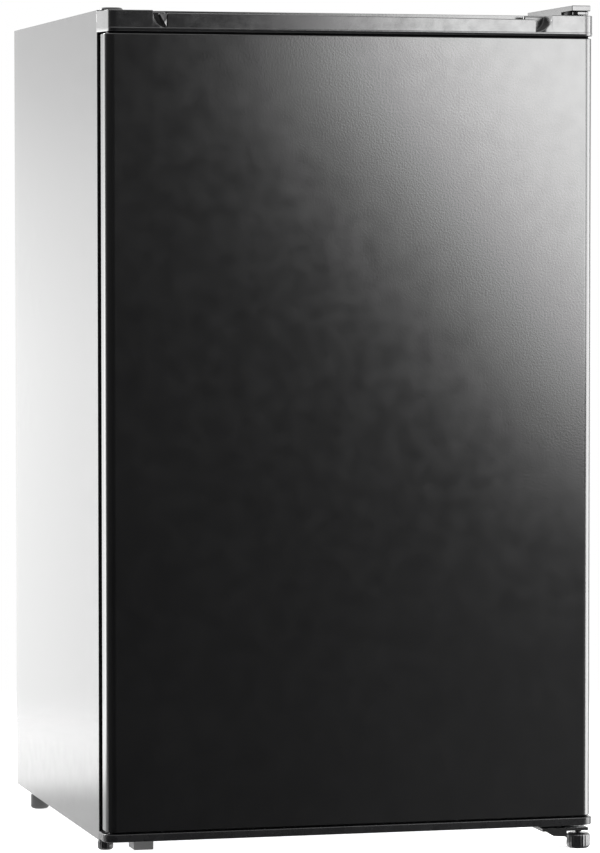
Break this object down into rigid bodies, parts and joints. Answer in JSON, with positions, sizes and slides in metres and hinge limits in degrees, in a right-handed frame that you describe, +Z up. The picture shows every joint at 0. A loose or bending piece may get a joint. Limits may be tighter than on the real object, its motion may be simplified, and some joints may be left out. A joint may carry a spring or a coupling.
{
  "type": "mini fridge",
  "caption": "Single-door compact refrigerator with an inner freezer box, glass shelves, crisper drawer, door racks and a recessed grip along the top of its reversible door.",
  "frame": {"origin": "centre of the footprint, on the floor under the feet", "axes": "+Z up, -Y out of the door front, +X towards the hinged side"},
  "size_m": [0.4796, 0.459, 0.8076],
  "materials": {
    "black_steel": "satin",
    "zinc_steel": "satin",
    "black_hardware": "satin",
    "iron": "matte",
    "foam": "matte",
    "white_plastic": "satin",
    "clear_plastic": "gloss",
    "glass": "gloss",
    "aluminium": "satin",
    "copper": "satin",
    "rubber": "matte",
    "black_plastic": "satin"
  },
  "bodies": {
    "cabinet": {"left_side_panel": "black_steel", "right_side_panel": "black_steel", "top_panel": "black_steel", "back_panel": "black_steel", "base_panel": "zinc_steel", "cabinet_foam": "foam", "inner_liner": "white_plastic", "condenser_coils": "copper", "evaporator_box": "aluminium", "evaporator_hangers": "white_plastic", "freezer_frame": "white_plastic", "crisper_cover_glass": "glass", "crisper_cover_trim": "white_plastic", "thermostat_housing": "white_plastic", "thermostat_switch": "zinc_steel", "sensor_tube": "copper", "compressor_rail": "zinc_steel", "compressor_grommets": "rubber", "compressor_shell": "black_hardware", "compressor_motor": "iron", "relay_cover": "black_plastic", "cord_gland": "rubber", "evaporation_tray": "black_plastic", "drain_tube": "white_plastic", "filter_drier": "copper", "suction_pipe": "copper", "discharge_pipe": "copper", "rear_feet": "black_plastic", "front_glide": "black_plastic", "top_hinge_plate": "zinc_steel", "top_hinge_cover": "black_plastic", "top_hinge_screws": "zinc_steel", "bottom_hinge_bracket": "black_hardware", "bottom_hinge_screws": "zinc_steel", "hinge_washers": "white_plastic"},
    "door": {"door_panel": "black_steel", "door_foam": "foam", "door_liner": "white_plastic", "door_gasket": "rubber", "door_top_cap": "black_plastic", "door_bottom_cap": "black_plastic", "hinge_hole_plug": "black_plastic", "can_dispenser": "clear_plastic"},
    "upper_rack": {"upper_door_rack": "clear_plastic"},
    "middle_rack": {"middle_door_rack": "clear_plastic"},
    "lower_rack": {"bottle_rack": "clear_plastic"},
    "flap": {"freezer_flap": "clear_plastic"},
    "tray": {"drip_tray": "clear_plastic"},
    "upper_shelf": {"upper_shelf_glass": "glass", "upper_shelf_trim": "white_plastic"},
    "middle_shelf": {"middle_shelf_glass": "glass", "middle_shelf_trim": "white_plastic"},
    "crisper": {"crisper_drawer": "clear_plastic"},
    "knob": {"thermostat_knob": "white_plastic"},
    "left_foot": {"left_levelling_foot": "black_plastic"},
    "right_foot": {"right_levelling_foot": "black_plastic"}
  },
  "joints": [
    {"name": "door_hinge", "type": "hinge", "parent": "cabinet", "child": "door", "pos_m": [0.2255, -0.2085, 0.41], "axis": [0, 0, 1], "range_deg": [0, 110]},
    {"name": "flap_hinge", "type": "hinge", "parent": "cabinet", "child": "flap", "pos_m": [0.188, -0.1046, 0.689], "axis": [0, 0, 1], "range_deg": [0, 80.5]},
    {"name": "tray_slide", "type": "slide", "parent": "cabinet", "child": "tray", "axis": [0, -1, 0], "range_m": [0, 0.1005]},
    {"name": "upper_shelf_slide", "type": "slide", "parent": "cabinet", "child": "upper_shelf", "axis": [0, -1, 0], "range_m": [0, 0.1005]},
    {"name": "middle_shelf_slide", "type": "slide", "parent": "cabinet", "child": "middle_shelf", "axis": [0, -1, 0], "range_m": [0, 0.1005]},
    {"name": "crisper_slide", "type": "slide", "parent": "cabinet", "child": "crisper", "axis": [0, -1, 0], "range_m": [0, 0.0905]},
    {"name": "upper_rack_lift", "type": "slide", "parent": "door", "child": "upper_rack", "axis": [0, 0, 1], "range_m": [0, 0.02]},
    {"name": "middle_rack_lift", "type": "slide", "parent": "door", "child": "middle_rack", "axis": [0, 0, 1], "range_m": [0, 0.02]},
    {"name": "lower_rack_lift", "type": "slide", "parent": "door", "child": "lower_rack", "axis": [0, 0, 1], "range_m": [0, 0.02]},
    {"name": "knob_turn", "type": "hinge", "parent": "cabinet", "child": "knob", "pos_m": [0.175, -0.02, 0.55], "axis": [-1, 0, 0], "range_deg": [0, 270]},
    {"name": "left_foot_turn", "type": "hinge", "parent": "cabinet", "child": "left_foot", "pos_m": [-0.2295, -0.1815, 0.015], "axis": [0, 0, 1], "continuous": true},
    {"name": "right_foot_turn", "type": "hinge", "parent": "cabinet", "child": "right_foot", "pos_m": [0.2275, -0.218, 0.01], "axis": [0, 0, 1], "continuous": true}
  ],
  "couplings": [
    {"joint": "flap_hinge", "follows": "door_hinge", "ratio": 0.72727},
    {"joint": "tray_slide", "follows": "door_hinge", "m_per_rad": 0.052087},
    {"joint": "upper_shelf_slide", "follows": "door_hinge", "m_per_rad": 0.052087},
    {"joint": "middle_shelf_slide", "follows": "door_hinge", "m_per_rad": 0.052087},
    {"joint": "crisper_slide", "follows": "door_hinge", "m_per_rad": 0.046878}
  ]
}
